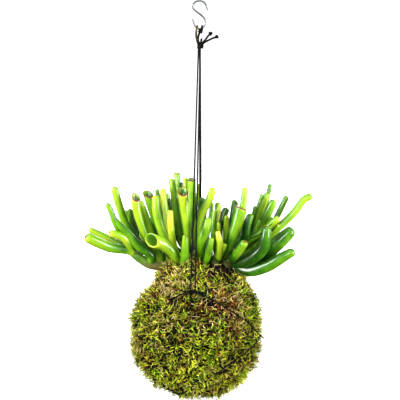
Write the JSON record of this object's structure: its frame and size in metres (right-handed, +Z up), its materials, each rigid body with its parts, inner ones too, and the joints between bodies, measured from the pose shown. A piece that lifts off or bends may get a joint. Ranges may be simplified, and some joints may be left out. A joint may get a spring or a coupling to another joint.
{
  "type": "kokedama moss ball plant",
  "caption": "Hanging kokedama: a moss-wrapped soil ball tied with black thread, planted with finger-leaved jade and hung on a cord from a small S-hook.",
  "frame": {"origin": "inside of the upper bend of the S-hook, where it hangs on its support", "axes": "+Z up along the hanging line, +X to the right of the pictured side, -Y towards the viewer"},
  "size_m": [0.2091, 0.1346, 0.3673],
  "materials": {
    "hook_steel": "bright zinc-plated steel wire",
    "black_cord": "matt black twisted cord",
    "moss": "loose moss strands, yellow-green to straw and brown",
    "soil": "dark crumbly soil and roots",
    "leaf": "waxy succulent leaf, semi-gloss, red-brown at the rims"
  },
  "bodies": {
    "root": {"s_hook": "hook_steel", "hanger_knot": "black_cord", "strand_front_left": "black_cord", "strand_front_right": "black_cord", "strand_back_near": "black_cord", "strand_back_far": "black_cord", "winding_thread": "black_cord", "moss_jacket": "moss", "soil_core": "soil", "leafy_stem_left": "leaf", "leafy_stem_front_left": "leaf", "leafy_stem_centre": "leaf", "leafy_stem_front_right": "leaf", "leafy_stem_right": "leaf", "leafy_stem_far_right": "leaf", "leafy_stem_low_right": "leaf", "leafy_stem_back_left": "leaf", "leafy_stem_back": "leaf", "leafy_stem_back_right": "leaf"}
  },
  "joints": []
}
